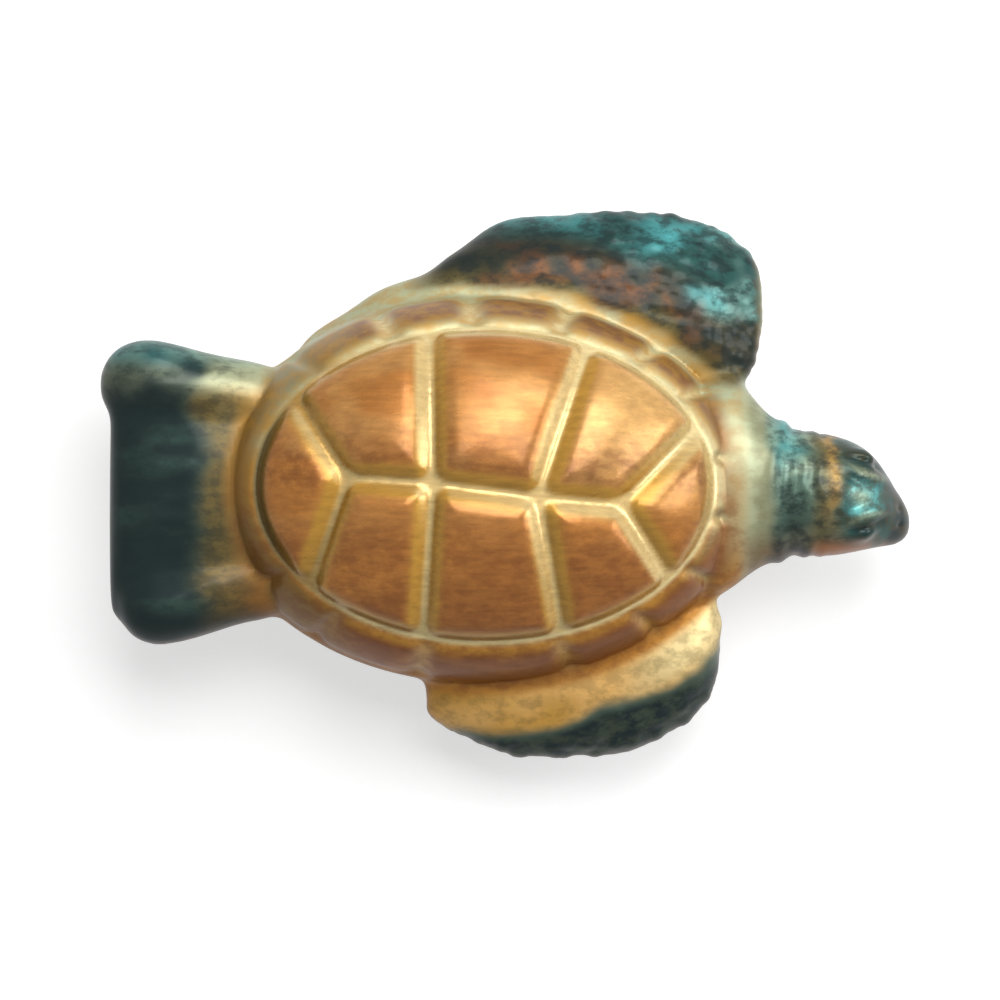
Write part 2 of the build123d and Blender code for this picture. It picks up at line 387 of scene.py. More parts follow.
def carapace(places, glass):
    """Where the points of the shell's back belong, with the masks of scutes, ring and joints."""
    rel = (places - EGG_CENTRE) / EGG_SIZE
    rel /= np.maximum(np.linalg.norm(rel, axis=1, keepdims=True), TINY)
    base = EGG_CENTRE + rel * EGG_SIZE
    x, y, z = base.T
    out = rel / EGG_SIZE
    out /= np.linalg.norm(out, axis=1, keepdims=True)
    inside, reach, angle = field_place(x, y)
    in_field = inside > 0.0
    depth = scute_depth(x, y, inside, glass.scute_corner / MM)
    depth = np.hypot(depth, SEAM_ROUND) - SEAM_ROUND
    top = 1.0 - (1.0 - np.clip(depth / (glass.bevel / MM), 0.0, 1.0)) ** 2.0
    swell = 1.0 - np.exp(-depth / SWELL_REACH)
    scute = top * glass.scute_rise / MM + swell * glass.scute_swell / MM
    band = 1.0 - (1.0 - np.clip(-inside / RING_WIDTH, 0.0, 1.0)) ** RING_POWER
    joint = plate_joint(angle, reach) * smooth(0.05, 0.2, rel[:, 2])
    crown = glass.ring_crown / MM * (1.0 - REAR_DROP * smooth(*REAR_FADE, x))
    ring = crown * np.maximum(rel[:, 2] * out[:, 2], 0.0) - joint * glass.joint_depth / MM
    edge = bell(z - EDGE_Z, EDGE_WIDTH)
    height = np.where(in_field, scute, band * (ring + RING_LIFT - EDGE_DIP * edge))
    masks = {
        "top": np.where(in_field, top, 0.0),
        "depth": depth,
        "inside": inside,
        "joint": joint * band,
        "edge": edge,
    }
    return base + out * height[:, None], masks


def shell_share(x, y, outline):
    """Distance from the shell's middle, 1 on the outline with these half sizes."""
    return np.hypot((x - EGG_CENTRE[0]) / outline[0], y / outline[1])


def neck_reach(places):
    """Distance from the axis of the glass neck."""
    return np.hypot(places[:, 1], places[:, 2] - NECK_Z)


def eyes(x, side, eye_x):
    """For each eye, the distance along and across its slit and the sign of its side."""
    along = x - eye_x
    for eye, tilt in EYES:
        yield along, side - eye - tilt * along, math.copysign(1.0, eye)


def head_relief(p, glass):
    """Folds of the neck, lids, brows, beak and mouth, as heights along the normal."""
    x, y, z = p.T
    side = y - HEAD_AXIS
    upper = smooth(*FACE_FADE, z)
    wave = x + 0.03 * side**2 + 0.5 * np.sin(side * 0.9)
    folds = np.sin(wave * 2.0 * math.pi / FOLD_SPACING)
    folded = smooth(43.5, 45.5, x) * (1.0 - smooth(48.5, 50.5, x))
    height = glass.wrinkle / MM * folds * folded * upper
    arch = x - 0.02 * side**2
    collar = bell(arch - 40.6, 1.1) - 0.8 * bell(arch - 42.8, 0.9)
    height = height + 0.45 * collar * upper
    for ex, ey, outward in eyes(x, side, EYE_X):
        lid = bell(np.hypot(ex / 1.6, ey), 2.1)
        slit = bell(ey - outward * (0.2 - 0.07 * ex**2), 0.42) * bell(ex, 2.5)
        brow = bell(ey + outward * (2.3 - 0.05 * ex**2), 0.9) * bell(ex + 0.2, 3.6)
        crease = bell(ey + outward * (3.6 - 0.04 * ex**2), 0.55) * bell(ex, 3.8)
        height = height + upper * (0.3 * lid - 0.8 * slit + 0.45 * brow - 0.35 * crease)
    crown = bell(np.hypot(x - 52.6, side * 0.9), 2.6)
    crown = crown + bell(np.hypot(x - 57.8, (side + 1.9) * 1.5), 1.9)
    mouth = bell(z - MOUTH_Z + 0.1 * (x - 56.0), 0.5) * smooth(48.5, 51.5, x)
    apart = np.abs(y - NOSTRIL_Y) - NOSTRIL_HALF
    nostril = bell(np.hypot(x - NOSTRIL_X, apart), 0.45) * upper
    return height + 0.3 * upper * crown - 0.6 * mouth - 0.35 * nostril


def limb_relief(p, n, glass):
    """Pebbled scales of the flippers and long strokes on the tail, as heights along the normal."""
    x, y = p.T[:2]
    shell = shell_share(x, y, RELIEF_OUTLINE)
    along = smooth(-17.0, -12.0, x) * (1.0 - smooth(39.0, 41.5, x))
    flipper = smooth(1.04, 1.12, shell) * along * smooth(16.0, 20.0, np.abs(y))
    run = x * SCALE_RUN[0] - np.abs(y) * SCALE_RUN[1]
    across = x * SCALE_RUN[1] + np.abs(y) * SCALE_RUN[0]
    pebble = 1.0 - smooth(0.05, 0.62, cells(run / SCALE_STRETCH, across, SCALE_SIZE))
    patch = grain(p, (6.0, 6.0, 6.0))
    left_rim = smooth(0.0, 22.0, x + 0.6 * (y - 34.0))
    rim = np.where(y > 0.0, left_rim, smooth(1.1, 1.25, shell))
    scales = glass.pebble / MM * (pebble - 0.4) * flipper * rim * (0.35 + 1.1 * patch)
    swells = 0.7 * (grain(p, (7.0, 5.0, 5.0)) - 0.5) * flipper
    tail = smooth(-46.0, -52.0, x) * (1.0 - smooth(-58.0, -60.5, x)) * np.abs(n[:, 2])
    return scales + swells + 0.5 * (grain(p, (9.0, 2.6, 9.0)) - 0.5) * tail


def only(obj):
    """Selects one object alone and makes it active."""
    bpy.ops.object.select_all(action="DESELECT")
    obj.select_set(True)
    bpy.context.view_layer.objects.active = obj


def modify(obj, kind, **values):
    """Adds a modifier with these values and applies it."""
    only(obj)
    modifier = obj.modifiers.new(kind.title(), kind)
    for key, value in values.items():
        setattr(modifier, key, value)
    bpy.ops.object.modifier_apply(modifier=modifier.name)


def copy_of(node, name):
    """A merged copy of a node's mesh as a new piece."""
    only(frame["nodes"][node])
    bpy.ops.object.duplicate()
    piece = bpy.context.view_layer.objects.active
    bpy.ops.object.parent_clear(type="CLEAR")
    piece.name = name
    piece.data.name = name
    for key in list(piece.keys()):
        del piece[key]
    piece.data.materials.clear()
    bpy.ops.object.mode_set(mode="EDIT")
    bpy.ops.mesh.select_all(action="SELECT")
    bpy.ops.mesh.remove_doubles(threshold=2e-6)
    bpy.ops.mesh.select_all(action="DESELECT")
    bpy.ops.object.mode_set(mode="OBJECT")
    return piece


def outer_wall(piece):
    """Keeps the outside of the hollow glass: cuts the bore away and drops the inner wall."""
    mesh = piece.data
    middle = np.array([p.center for p in mesh.polygons]) / MM
    facing = np.array([p.normal for p in mesh.polygons])
    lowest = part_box("glass_body")[0]
    from_axis = neck_reach(middle)
    walls = (from_axis < NECK_BORE + BORE_SLACK) & (middle[:, 0] < NECK_ROOT_X)
    rim = (from_axis < NECK_BORE + RIM_WIDTH) & (middle[:, 0] < RIM_X) & (facing[:, 0] < -0.9)
    only(piece)
    mesh.polygons.foreach_set("select", walls | rim)
    bpy.ops.object.mode_set(mode="EDIT")
    bpy.ops.mesh.select_mode(type="FACE")
    bpy.ops.mesh.delete(type="FACE")
    bpy.ops.mesh.select_all(action="DESELECT")
    bpy.ops.object.mode_set(mode="OBJECT")
    start = min(mesh.vertices, key=lambda v: v.co.z)
    if abs(start.co.z - lowest.z) > 2e-4:
        raise RuntimeError("the glass has no belly on the floor")
    start.select = True
    bpy.ops.object.mode_set(mode="EDIT")
    bpy.ops.mesh.select_mode(type="VERT")
    bpy.ops.mesh.select_linked()
    bpy.ops.mesh.select_all(action="INVERT")
    bpy.ops.mesh.delete(type="VERT")
    bpy.ops.mesh.select_all(action="SELECT")
    bpy.ops.mesh.region_to_loop()
    bpy.ops.mesh.edge_face_add()
    bpy.ops.mesh.select_all(action="SELECT")
    bpy.ops.mesh.normals_make_consistent(inside=False)
    bpy.ops.object.mode_set(mode="OBJECT")


def drill(piece):
    """Opens the neck with a blind bore for the wire's legs."""
    middle_x = NECK_MOUTH_X + (DRILL_DEPTH - DRILL_LEAD) / 2
    bpy.ops.object.select_all(action="DESELECT")
    bpy.ops.mesh.primitive_cylinder_add(
        vertices=DRILL_SIDES,
        radius=NECK_BORE * MM,
        depth=(DRILL_LEAD + DRILL_DEPTH) * MM,
        location=(middle_x * MM, 0.0, NECK_Z * MM),
        rotation=(0.0, math.pi / 2, 0.0),
    )
    bit = bpy.context.view_layer.objects.active
    modify(piece, "BOOLEAN", operation="DIFFERENCE", object=bit, solver="EXACT")
    only(bit)
    bpy.ops.object.delete()
    only(piece)


def group(piece, name, weights):
    """A vertex group with these weights, in even steps."""
    made = piece.vertex_groups.new(name=name)
    steps = np.round(np.clip(weights, 0.0, 1.0) * WEIGHT_STEPS).astype(int)
    for step in range(1, WEIGHT_STEPS + 1):
        chosen = np.nonzero(steps == step)[0].tolist()
        if chosen:
            made.add(chosen, step / WEIGHT_STEPS, "REPLACE")
    return made.name


def soften(piece, name, weights, rounds):
    """Smooths the mesh as far as the weights say."""
    made = group(piece, name, weights)
    modify(piece, "SMOOTH", factor=0.5, iterations=rounds, vertex_group=made)


class Coat:
    """Layers of colour on the points of a mesh, with brush marks and flecks for the shader."""

    def __init__(self, count, tone):
        self.rgb = np.tile(np.array(tone[:3]), (count, 1))
        self.marks = np.full(count, 0.15)
        self.fleck = np.zeros((count, 4))

    def brush(self, tone, weight):
        """Covers the points with a tone as far as the weight says."""
        self.rgb += (np.array(tone[:3]) - self.rgb) * np.clip(weight, 0.0, 1.0)[:, None]

    def dab(self, tone, weight):
        """Flecks of a tone, as dense as the weight says."""
        cover = np.clip(weight, 0.0, 1.0)[:, None]
        share = cover / np.maximum(cover + self.fleck[:, 3:], TINY)
        self.fleck[:, :3] += (np.array(tone[:3]) - self.fleck[:, :3]) * share
        self.fleck[:, 3:] = np.maximum(self.fleck[:, 3:], cover)

    def wipe(self, weight):
        """Takes flecks away as far as the weight says."""
        self.fleck[:, 3] *= 1.0 - weight

    def lay(self, mesh):
        """Stores the colours on the mesh."""
        paint = np.column_stack((self.rgb, self.marks))
        for name, values in (("paint", paint), ("fleck", self.fleck)):
            layer = mesh.attributes.new(name, "FLOAT_COLOR", "POINT")
            layer.data.foreach_set("color", values.astype(np.float32).ravel())


def paint_shell(coat, p, n, masks, hold, tones):
    """Copper scutes with gold bevels, plates brown in the middle, with painted light and shade: mint,
    gold and highlights on the side towards the light, rust, umber and olive on the side away from it.
    """
    x, y, z = p.T
    inside, top, joint = masks["inside"], masks["top"], masks["joint"]
    # light: 0 to 1 across Y up to the side that faces the lamps; the tones it weights are painted light
    # and painted shade
    light = smooth(-8.0, 18.0, y + 8.0 * (grain(p, (12.0, 9.0, 9.0)) - 0.5))
    patch = mottle(p, (9.0, 7.0, 7.0), (4.0, 3.0, 3.0))
    rear = smooth(-20.0, -32.0, x)
    ahead = smooth(22.0, 34.0, x)
    # How far a normal faces the light at the upper right, for painted highlights and painted shade
    facing_light = 0.75 * n[:, 0] + 0.6 * n[:, 1]
    field = hold * smooth(-0.4, 0.2, inside)
    ring = hold * smooth(0.1, 1.0, -inside) * smooth(19.0, 22.0, z)
    plate = ring * (1.0 - joint) * smooth(0.6, 2.0, -inside) * (1.0 - 0.75 * rear)

    # Undercoat: olive patches, with painted shade in rust and umber flecks on the side away from the
    # light and painted light in mint and gold flecks on the light side
    coat.brush(tones.olive, 0.45 * smooth(0.3, 0.65, patch))
    coat.brush(tones.rust, 0.5 * (1.0 - light))
    coat.brush(tones.mint, 0.75 * light * smooth(0.25, 0.55, patch))
    coat.dab(tones.umber, 0.45 * (1.0 - light))
    coat.dab(tones.gold, 0.5 * light)

    # Marginal plates and shoulders. Painted light and shade on the ring: rust in the plates' middles
    # and olive at the rear both weaker on the light side, painted highlights in honey on faces towards
    # the light, pale joints brighter on the light side, and painted light in mint low on the light side
    coat.brush(tones.gold, 0.45 * ring * (1.0 - 0.7 * rear))
    coat.brush(tones.olive, 0.7 * ring * ahead)
    shoulder = (1.0 - field) * smooth(26.0, 36.0, x) * smooth(-16.0, -6.0, y)
    coat.brush(tones.mint, 0.45 * shoulder)
    coat.brush(tones.rust, 0.6 * plate * (1.0 - 0.5 * light))
    middle = plate * smooth(0.05, 0.45, patch) * (1.0 - masks["edge"])
    coat.brush(tones.umber, (0.75 - 0.35 * ahead) * middle)
    # Painted highlight: honey on ring faces that face the light
    painted_lit_faces = ring * smooth(0.2, 0.5, facing_light) * (1.0 - rear) * (1.0 - plate)
    coat.brush(tones.honey, 0.3 * painted_lit_faces)
    coat.brush(tones.pale, 0.6 * ring * joint * (0.25 + 0.75 * light) * (1.0 - rear))
    # Painted light: mint low on the ring's light side
    coat.brush(tones.mint, 0.7 * ring * light * smooth(25.0, 21.5, z))
    coat.brush(tones.olive, 0.6 * ring * rear * (1.0 - 0.4 * light))

    # Scutes: gold bevels, with painted highlights in pale gold on the bevels facing the light and
    # painted shade in olive on those facing away; copper tops, with painted highlights in honey on the
    # upper front scutes; painted shade in umber along the spine and on the lower scutes, and in olive
    # on the rear bevel; and thin bright seams painted in pale gold as highlights
    coat.wipe(field)
    coat.marks += 0.75 * field
    coat.brush(tones.gold, field)
    # Painted shade in olive on bevels facing away from the light, painted highlight in pale gold on
    # bevels facing it
    coat.brush(tones.olive, 0.5 * field * smooth(0.05, 0.45, -facing_light) * (1.0 - top))
    coat.brush(tones.pale, 0.45 * field * smooth(0.2, 0.5, facing_light) * smooth(0.97, 0.7, top))
    crest = field * smooth(0.62, 0.99, top + 0.12 * (strokes(p, 16.0, 2.6) - 0.5))
    coat.brush(tones.copper, crest)
    # Honey on the scute tops: random patches growing towards the light side, partly painted light, and
    # a painted highlight on the upper front scutes
    honey_patches_and_light = 0.3 * smooth(0.35, 0.65, patch) * smooth(-14.0, 6.0, y)
    painted_highlight_front = 0.5 * smooth(4.0, 16.0, x) * smooth(-8.0, 4.0, y)
    coat.brush(tones.honey, crest * (honey_patches_and_light + painted_highlight_front))
    # Painted shade: umber along the spine and over the lower scutes, away from the light; the thin
    # umber flecks elsewhere on the tops are the lacquer's own
    spine = bell(y - 1.5, 5.5) * smooth(-2.5, 0.0, y) + 0.75 * smooth(-2.0, -12.0, y)
    coat.brush(tones.umber, 0.5 * crest * spine * smooth(0.25, 0.6, patch))
    coat.dab(tones.umber, 0.5 * crest * (0.25 + 0.75 * spine))
    # Painted shade: olive on the rear scute's back bevel
    shaded_rear_bevel = field * smooth(-31.0, -37.0, x) * (1.0 - smooth(0.55, 1.0, top))
    coat.brush(tones.olive, 0.9 * shaded_rear_bevel)
    # Painted highlight: thin pale gold lines along the seams, where the groove bottoms catch the light
    seam = bell(masks["depth"], 0.22) * field + bell(inside, 0.3) * hold
    coat.brush(tones.pale, 0.4 * seam * (1.0 - 0.8 * rear))


def paint_flippers(coat, p, hold, tones):
    """Left flipper dark with rust arcs, aqua towards the front and a painted highlight in aqua along
    its outer rim; right one gold with a dark scaly rim.
    """
    x, y = p.T[:2]
    out = (shell_share(x, y, PAINT_OUTLINE) - 1.0) * PAINT_REACH
    cloud = mottle(p, (8.0, 6.0, 6.0), (3.6, 3.0, 3.0))
    stray = cloud - 0.5
    free = (1.0 - hold) * (1.0 - smooth(38.5, 41.0, x)) * smooth(14.5, 18.0, np.abs(y))

    # Left
    left = free * smooth(-17.0, -9.0, x) * (y > 0.0) * smooth(0.0, 2.0, out + 2.0 * stray)
    coat.wipe(left)
    coat.brush(tones.olive, left)
    coat.brush(tones.umber, 0.4 * left * smooth(0.35, 0.65, cloud))
    coat.brush(tones.deep, 0.8 * left * smooth(0.6, 4.5, out + 4.0 * stray))
    coat.brush(tones.umber, 0.18 * left * smooth(0.45, 0.6, cloud) * (1.0 - smooth(6.0, 9.0, out)))
    coat.brush(tones.teal, 0.75 * left * smooth(8.0, 11.0, out + 4.0 * stray))
    coat.dab(tones.deep, 0.7 * left)
    for arc_x, arc_y, radius in ARCS:
        off = np.hypot((x - arc_x) * 1.05, y - arc_y) - radius
        coat.brush(tones.rust, 0.22 * left * bell(off, 0.9) * smooth(2.2, -0.8, y - arc_y))
    coat.brush(tones.gold, 0.5 * left * smooth(29.0, 36.0, x) * smooth(0.4, 0.7, cloud))
    front = left * smooth(17.0, 27.0, x) * smooth(5.0, 9.0, out)
    coat.brush(tones.aqua, 0.75 * front * smooth(0.4, 0.65, cloud))
    # Painted highlight: aqua along the outer rim of the left flipper's rear half
    coat.brush(tones.aqua, 0.45 * left * smooth(10.0, 13.0, out) * (1.0 - smooth(10.0, 18.0, x)))

    # Right
    right = free * smooth(-15.0, -10.0, x) * (y < 0.0) * smooth(0.2, 2.0, out)
    coat.wipe(right)
    coat.brush(tones.gold, right)
    coat.brush(tones.honey, 0.65 * right * smooth(0.2, 0.55, cloud))
    coat.brush(tones.pale, 0.65 * right * smooth(15.0, 27.0, x) * (1.0 - smooth(4.0, 8.0, out)))
    coat.dab(tones.olive, 0.4 * right)
    rim = right * smooth(5.4, 7.6, out + 3.5 * stray)
    coat.brush(tones.teal, 0.9 * rim)
    coat.brush(tones.deep, right * smooth(6.4, 8.6, out + 3.0 * stray))
    coat.dab(tones.teal, 0.35 * rim)


def paint_tail(coat, p, hold, tones):
    """Dark end of the tail, olive and gold towards the shell; painted highlights in mint and aqua on
    the left side, which faces the light, and painted shade in deep teal along the right edge.
    """
    x, y = p.T[:2]
    run = strokes(p, 18.0, 4.5)
    cloud = mottle(p, (7.0, 6.0, 6.0), (3.4, 3.0, 3.0))
    ragged = x + 5.0 * (run - 0.5)
    tail = (1.0 - hold) * smooth(-33.0, -39.0, x)
    end = smooth(-35.0, -44.0, ragged + 5.0 * (cloud - 0.5))
    dark = smooth(-44.5, -50.0, ragged + 3.0 * (cloud - 0.5))
    coat.marks += 0.35 * tail
    coat.wipe(tail)
    coat.brush(tones.olive, 0.6 * tail * (1.0 - smooth(8.0, 14.0, y)))
    coat.brush(tones.rust, 0.5 * tail * smooth(-8.0, -18.0, y))
    coat.brush(tones.olive, 0.9 * tail * end)
    coat.brush(tones.teal, 0.75 * tail * dark)
    coat.brush(tones.deep, 0.95 * tail * dark * smooth(0.0, 0.4, run))
    coat.brush(tones.deep, 0.6 * tail * smooth(-58.5, -61.5, x))
    coat.dab(tones.deep, 0.5 * tail * end)
    # Painted highlights in mint and aqua on the tail's left side, towards the light, and painted shade
    # in deep teal on its right edge
    light = smooth(12.5, 18.0, y) * smooth(0.25, 0.55, cloud) * (1.0 - 0.7 * dark)
    coat.brush(tones.mint, 0.65 * tail * light)
    coat.brush(tones.aqua, 0.3 * tail * smooth(17.5, 21.5, y))
    coat.brush(tones.deep, 0.7 * tail * smooth(-17.0, -21.0, y))


def paint_head(coat, p, hold, tones):
    """Pale collar, green neck, gold band behind the head, dark mottled face and beak, rust jaw; painted
    highlights on the neck's left side, the crown and the brows, and painted shade on the neck's right
    side.
    """
    x, y, z = p.T
    side = y - HEAD_AXIS
    cloud = mottle(p, (4.5, 4.0, 4.0), (2.4, 2.2, 2.2))
    at = x + 3.0 * (cloud - 0.5)
    head = (1.0 - hold) * smooth(35.5, 38.5, x) * (1.0 - smooth(16.0, 19.0, np.abs(y)))
    neck = head * smooth(39.5, 42.0, at)
    face = head * smooth(50.8, 53.0, at)
    jaw = head * smooth(-6.2, -8.6, side) * smooth(46.0, 49.0, x)
    coat.wipe(head)
    coat.marks += 0.4 * head * smooth(40.0, 44.0, x)

    # Collar, neck and the band behind the head, with a painted highlight and painted shade on the neck
    coat.brush(tones.mint, 0.95 * head * smooth(0.0, 0.35, cloud))
    coat.brush(tones.olive, 0.45 * head * smooth(36.0, 39.0, at))
    coat.dab(tones.olive, 0.3 * head * (1.0 - smooth(39.0, 41.0, x)))
    coat.brush(tones.teal, 0.75 * neck)
    coat.brush(tones.mint, 0.45 * neck * smooth(0.5, 0.7, cloud) * (1.0 - smooth(46.5, 49.0, x)))
    # Painted highlight: aqua on the neck's left side, towards the light
    coat.brush(tones.aqua, 0.6 * neck * bell(x - 43.5, 2.6) * smooth(2.0, 7.0, side))
    coat.brush(tones.umber, 0.6 * head * smooth(-4.0, -10.0, side))
    # Painted shade: deep teal on the neck's right side, away from the light
    coat.brush(tones.deep, 0.6 * neck * smooth(0.5, -6.0, side) * bell(x - 44.5, 4.5))
    coat.dab(tones.deep, 0.7 * neck)
    coat.brush(tones.olive, 0.7 * head * bell(at - 48.8, 1.8))
    coat.brush(tones.gold, 0.65 * head * bell(at - 50.6, 1.2) * smooth(-8.0, 2.0, side))

    # Face with a painted highlight in aqua and mint on its crown, eyes with a painted highlight in mint
    # along the brows, jaw and beak
    coat.brush(tones.teal, 0.8 * face)
    coat.brush(tones.deep, 0.6 * face * smooth(0.35, 0.6, cloud))
    # Painted highlight: aqua and a mint spot on the crown of the head
    crown = bell(np.hypot(x - 55.0, (side + 0.9) * 1.1), 3.0)
    coat.brush(tones.aqua, head * smooth(0.1, 0.6, crown))
    coat.brush(tones.mint, 0.7 * head * bell(np.hypot(x - 54.6, (side + 0.5) * 1.2), 1.7))
    coat.dab(tones.olive, 0.45 * face)
    for ex, ey, outward in eyes(x, side, EYE_PAINT_X):
        lid = bell(np.hypot(ex / 1.7, ey), 1.9) * smooth(16.0, 19.0, z)
        brow = bell(ey + outward * (1.9 - 0.05 * ex**2), 0.5) * bell(ex, 3.2)
        coat.brush(tones.deep, 0.8 * face * lid)
        # Painted highlight in mint along each brow
        coat.brush(tones.mint, 0.6 * face * brow)
    coat.brush(tones.rust, 0.8 * jaw * smooth(0.3, 0.55, cloud + 0.1))
    coat.brush(tones.deep, head * smooth(58.3, 61.0, at) * (1.0 - 0.5 * jaw))
    coat.wipe(jaw)


def paint_shade_and_belly(coat, p, n, tones):
    """Painted shade on the sides that face down and away from the light, and a clouded belly."""
    # Painted shade: umber and deep teal on walls that face down and away from the light
    shade = smooth(0.5, -0.1, n[:, 2]) * smooth(0.3, -0.5, n[:, 1])
    coat.brush(tones.umber, 0.55 * shade)
    coat.brush(tones.deep, 0.5 * shade * smooth(0.2, -0.3, n[:, 2]))
    under = smooth(0.0, -0.7, n[:, 2])
    coat.brush(tones.olive, 0.5 * under)
    coat.brush(tones.teal, 0.5 * under * smooth(0.4, 0.6, grain(p, (16.0, 9.0, 9.0))))


def ramp(tree, value, stops):
    """Colour ramp through (place, colour) stops."""
    node = tree.nodes.new("ShaderNodeValToRGB")
    band = node.color_ramp
    while len(band.elements) < len(stops):
        band.elements.new(0.5)
    for element, (place, shade) in zip(band.elements, stops):
        element.position = place
        element.color = shade
    tree.links.new(value, node.inputs["Fac"])
    return node.outputs["Color"]


def maths(tree, operation, first, second=0.0, third=0.0, clamp=False):
    """One arithmetic step between sockets or numbers."""
    node = tree.nodes.new("ShaderNodeMath")
    node.operation = operation
    node.use_clamp = clamp
    for socket, value in zip(node.inputs, (first, second, third)):
        if isinstance(value, bpy.types.NodeSocket):
            tree.links.new(value, socket)
        else:
            socket.default_value = value
    return node.outputs[0]


def mix(tree, factor, first, second):
    """Blend from the first colour to the second."""
    node = tree.nodes.new("ShaderNodeMix")
    node.data_type = "RGBA"
    for index, socket in zip(MIX_INPUTS, (factor, first, second)):
        tree.links.new(socket, node.inputs[index])
    return node.outputs[MIX_RESULT]


def noise(tree, stretch, scale, detail, rough):
    """Noise on Object coordinates, stretched by the three factors."""
    place = tree.nodes.new("ShaderNodeTexCoord")
    turn = tree.nodes.new("ShaderNodeMapping")
    turn.inputs["Scale"].default_value = stretch
    texture = tree.nodes.new("ShaderNodeTexNoise")
    texture.inputs["Scale"].default_value = scale
    texture.inputs["Detail"].default_value = detail
    texture.inputs["Roughness"].default_value = rough
    tree.links.new(place.outputs["Object"], turn.inputs["Vector"])
    tree.links.new(turn.outputs["Vector"], texture.inputs["Vector"])
    return texture.outputs["Fac"]


def attribute(tree, name):
    """Colour and alpha of the mesh's attribute."""
    node = tree.nodes.new("ShaderNodeAttribute")
    node.attribute_name = name
    return node.outputs["Color"], node.outputs["Alpha"]


def bump(tree, shader, height, strength, distance):
    """Fine unevenness of the surface."""
    node = tree.nodes.new("ShaderNodeBump")
    node.inputs["Strength"].default_value = strength
    node.inputs["Distance"].default_value = distance
    tree.links.new(height, node.inputs["Height"])
    tree.links.new(node.outputs["Normal"], shader.inputs["Normal"])


def seen(tree):
    """1 for what the camera sees, also by reflection and through glass, 0 for the light cast."""
    path = tree.nodes.new("ShaderNodeLightPath")
    direct = maths(tree, "ADD", path.outputs["Is Camera Ray"], path.outputs["Is Glossy Ray"])
    return maths(tree, "ADD", direct, path.outputs["Is Transmission Ray"], clamp=True)


def new_material(name):
    """Node material with its tree and shader."""
    material = bpy.data.materials.new(name)
    material.use_nodes = True
    tree = material.node_tree
    return material, tree, tree.nodes["Principled BSDF"]


def lacquer():
    """Pearl lacquer brushed and flecked over silvered glass."""
    material, tree, shader = new_material("pearl_lacquer")
    paint, marks = attribute(tree, "paint")
    fleck, density = attribute(tree, "fleck")
    speck = noise(tree, (0.7, 1.0, 1.0), 480.0, 5.0, 0.62)
    cover = maths(tree, "MULTIPLY_ADD", speck, 6.0, -2.6, clamp=True)
    flecked = mix(tree, maths(tree, "MULTIPLY", cover, density), paint, fleck)
    brush = noise(tree, (0.16, 1.0, 0.8), 1300.0, 4.0, 0.6)
    mark = maths(tree, "MULTIPLY", maths(tree, "SUBTRACT", brush, 0.5), marks)
    tint = tree.nodes.new("ShaderNodeHueSaturation")
    tint.inputs["Saturation"].default_value = 1.04
    tree.links.new(flecked, tint.inputs["Color"])
    tree.links.new(maths(tree, "MULTIPLY_ADD", mark, 0.9, 1.0), tint.inputs["Value"])
    tree.links.new(tint.outputs["Color"], shader.inputs["Base Color"])
    satin = maths(tree, "MULTIPLY_ADD", marks, -0.2, 0.4)
    tree.links.new(maths(tree, "MULTIPLY_ADD", speck, 0.14, satin), shader.inputs["Roughness"])
    for name, value in LACQUER_VALUES.items():
        shader.inputs[name].default_value = value
    bump(tree, shader, speck, 0.12, 0.0003)
    return material


def stamped_brass(name, light, dark):
    """Gilt metal with a cloudy tarnish and fine drawing marks."""
    material, tree, shader = new_material(name)
    cloud = noise(tree, EVEN, 260.0, 4.0, 0.6)
    drawn = noise(tree, (0.1, 1.0, 1.0), 2600.0, 2.0, 0.5)
    tint = ramp(tree, cloud, ((0.35, colour(dark)), (0.62, colour(light))))
    tree.links.new(tint, shader.inputs["Base Color"])
    shader.inputs["Metallic"].default_value = 1.0
    tree.links.new(maths(tree, "MULTIPLY_ADD", cloud, 0.25, 0.14), shader.inputs["Roughness"])
    bump(tree, shader, drawn, 0.15, 0.0001)
    return material


def white_sheet():
    """White sheet that keeps the shadow and looks white to the camera."""
    material, tree, shader = new_material("white_sheet")
    fibre = noise(tree, EVEN, 900.0, 2.0, 0.5)
    dark, light = ((grey, grey, grey, 1.0) for grey in FLOOR_GREYS)
    tint = ramp(tree, fibre, ((0.3, dark), (0.7, light)))
    tree.links.new(tint, shader.inputs["Base Color"])
    shader.inputs["Roughness"].default_value = 0.85
    shader.inputs["Emission Color"].default_value = WHITE
    glow = maths(tree, "MULTIPLY", seen(tree), FLOOR_GLOW)
    tree.links.new(glow, shader.inputs["Emission Strength"])
    return material


def white_room():
    """White surroundings for the camera and reflections, dimmer as a light."""
    world = bpy.data.worlds.new("white_room")
    world.use_nodes = True
    tree = world.node_tree
    sky = tree.nodes["Background"]
    sky.inputs["Color"].default_value = WHITE
    strength = maths(tree, "MULTIPLY_ADD", seen(tree), 1.0 - ROOM_LIGHT, ROOM_LIGHT)
    tree.links.new(strength, sky.inputs["Strength"])
    return world


def finish_node(node, material):
    """Gives a node of the frame its material."""
    target = frame["nodes"][node]
    if not target.data.materials:
        target.data.materials.append(material)
    for slot in target.material_slots:
        slot.material = material


